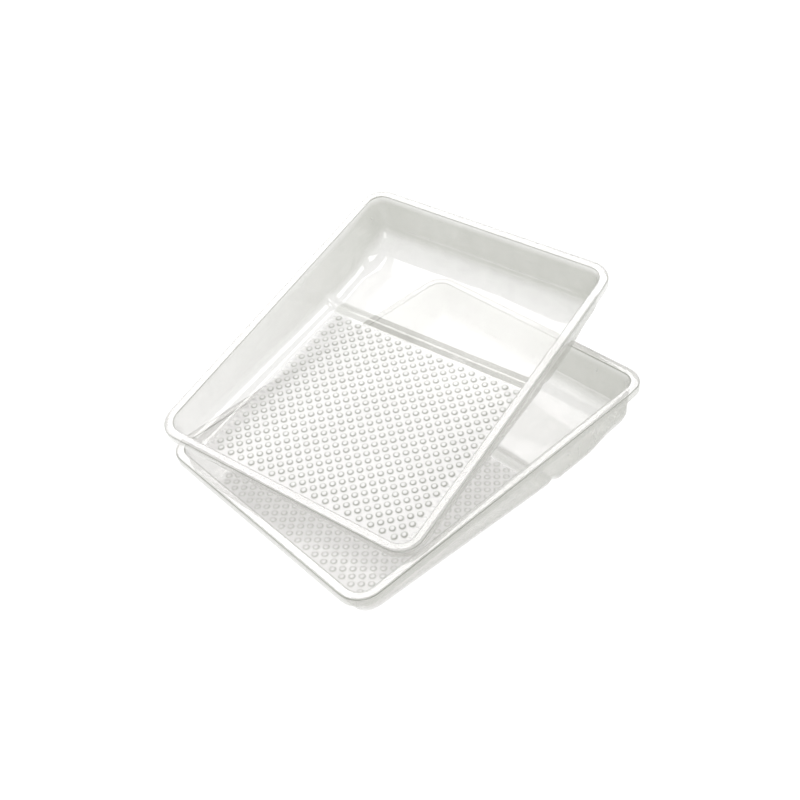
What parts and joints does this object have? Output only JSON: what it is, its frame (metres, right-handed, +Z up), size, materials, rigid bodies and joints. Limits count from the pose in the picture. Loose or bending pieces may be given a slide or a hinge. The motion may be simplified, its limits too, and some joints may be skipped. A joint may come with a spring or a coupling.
{
  "type": "paint roller tray liner pair",
  "caption": "Clear vacuum-formed liners for a paint roller tray, each with a dimpled ramp, a cross ridge and a deep well, one lying askew on the other.",
  "frame": {"origin": "on the bench, under the middle of the pair", "axes": "+Y from the trays' shallow ends towards their wells, +Z up"},
  "size_m": [0.3532, 0.4022, 0.1648],
  "materials": {
    "clear_sheet": "clear, glossy"
  },
  "bodies": {
    "lower": {"lower_tray": "clear_sheet"},
    "upper": {"upper_tray": "clear_sheet"}
  },
  "joints": [
    {"name": "upper_lift", "type": "slide", "parent": "lower", "child": "upper", "axis": [0, 0, 1], "range_m": [0, 0.15]}
  ]
}
